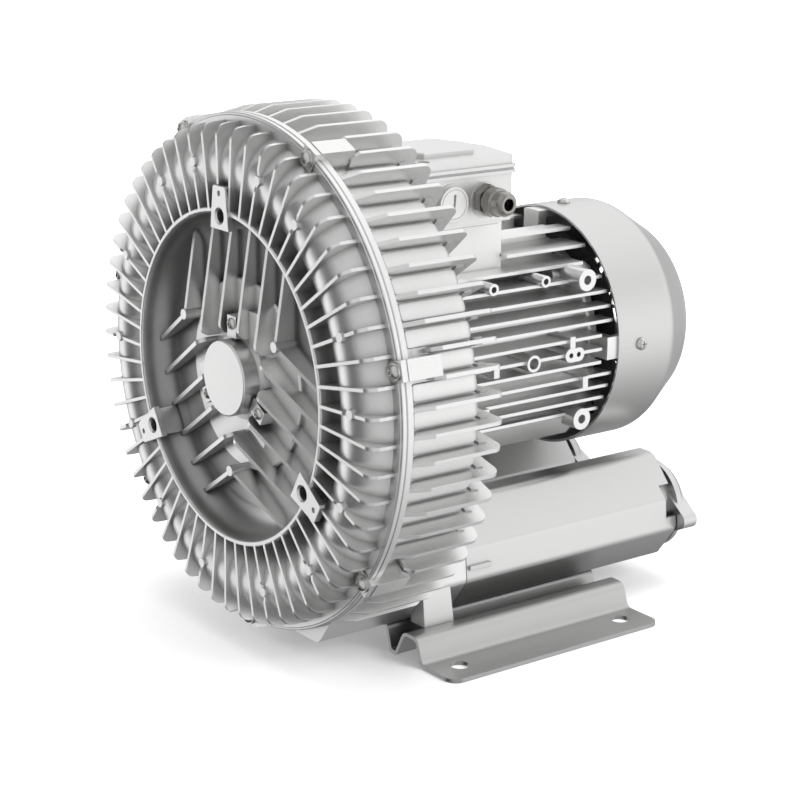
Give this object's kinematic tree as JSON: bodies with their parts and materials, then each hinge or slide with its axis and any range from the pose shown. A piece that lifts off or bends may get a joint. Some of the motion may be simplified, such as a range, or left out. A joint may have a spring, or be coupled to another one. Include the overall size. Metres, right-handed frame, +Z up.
{
  "type": "side channel blower",
  "caption": "Side channel blower with finned ring housing, flange motor, twin silencer tubes and sheet feet; moves air through a pair of rear ports.",
  "frame": {"origin": "centre of the foot bolt pattern on the floor, straight below the shaft axis", "axes": "+Z up, +Y along the shaft from the front cover to the fan cowl (the ports face +Y), +X to the right seen by someone who looks along +Y at the front cover"},
  "size_m": [0.3959, 0.402, 0.41],
  "materials": {
    "cast_aluminium": "satin silver lacquer on cast aluminium",
    "painted_sheet": "satin silver lacquer on sheet steel",
    "machined_aluminium": "machined",
    "zinc_steel": "zinc plated",
    "shaft_steel": "ground",
    "bearing_steel": "polished",
    "spring_steel": "oiled",
    "lamination": "stacked sheets",
    "copper": "varnished winding",
    "brass": "plain",
    "nickel_brass": "nickel plated",
    "black_rubber": "soft",
    "fan_plastic": "moulded",
    "board_plastic": "moulded",
    "plug_plastic": "moulded",
    "foam": "open cell",
    "plate": "blank plate"
  },
  "bodies": {
    "base": {"front_cover": "cast_aluminium", "rear_housing": "cast_aluminium", "clamp_screws": "zinc_steel", "clamp_washers": "zinc_steel", "hub_screws": "zinc_steel", "shaft_seal": "black_rubber", "front_bearing_outer": "bearing_steel", "rear_bearing_outer": "bearing_steel", "bearing_circlip": "spring_steel", "wave_spring": "spring_steel", "stator_core": "lamination", "stator_windings": "copper", "motor_housing": "cast_aluminium", "motor_flange_screws": "zinc_steel", "rear_end_shield": "cast_aluminium", "shield_screws": "zinc_steel", "fan_cowl": "painted_sheet", "cowl_screws": "zinc_steel", "terminal_box": "cast_aluminium", "box_screws": "zinc_steel", "box_gasket": "black_rubber", "box_lid": "cast_aluminium", "lid_screws": "zinc_steel", "terminal_board": "board_plastic", "terminal_studs": "brass", "terminal_links": "brass", "gland_body": "nickel_brass", "gland_nut": "nickel_brass", "gland_seal": "black_rubber", "gland_locknut": "nickel_brass", "blanking_plug": "plug_plastic", "rating_plate": "plate", "right_silencer": "cast_aluminium", "left_silencer": "cast_aluminium", "right_silencer_core": "zinc_steel", "left_silencer_core": "zinc_steel", "right_silencer_foam": "foam", "left_silencer_foam": "foam", "right_port_flange": "cast_aluminium", "left_port_flange": "cast_aluminium", "right_foot": "painted_sheet", "left_foot": "painted_sheet", "foot_bolts": "zinc_steel"},
    "rotor": {"impeller": "machined_aluminium", "impeller_bolt": "zinc_steel", "impeller_washer": "zinc_steel", "impeller_key": "shaft_steel", "bearing_spacer": "shaft_steel", "motor_shaft": "shaft_steel", "rotor_core": "lamination", "rotor_end_rings": "machined_aluminium", "front_bearing_inner": "bearing_steel", "rear_bearing_inner": "bearing_steel", "cooling_fan": "fan_plastic", "fan_circlip": "spring_steel"},
    "front_cage": {"front_bearing_balls": "bearing_steel", "front_bearing_cage": "brass"},
    "rear_cage": {"rear_bearing_balls": "bearing_steel", "rear_bearing_cage": "brass"}
  },
  "joints": [
    {"name": "rotor_spin", "type": "hinge", "parent": "base", "child": "rotor", "pos_m": [0, 0, 0.212], "axis": [0, 1, 0], "continuous": true},
    {"name": "front_cage_spin", "type": "hinge", "parent": "base", "child": "front_cage", "pos_m": [0, 0, 0.212], "axis": [0, 1, 0], "continuous": true},
    {"name": "rear_cage_spin", "type": "hinge", "parent": "base", "child": "rear_cage", "pos_m": [0, 0, 0.212], "axis": [0, 1, 0], "continuous": true}
  ],
  "couplings": [
    {"joint": "front_cage_spin", "follows": "rotor_spin", "ratio": 0.397},
    {"joint": "rear_cage_spin", "follows": "rotor_spin", "ratio": 0.397}
  ]
}
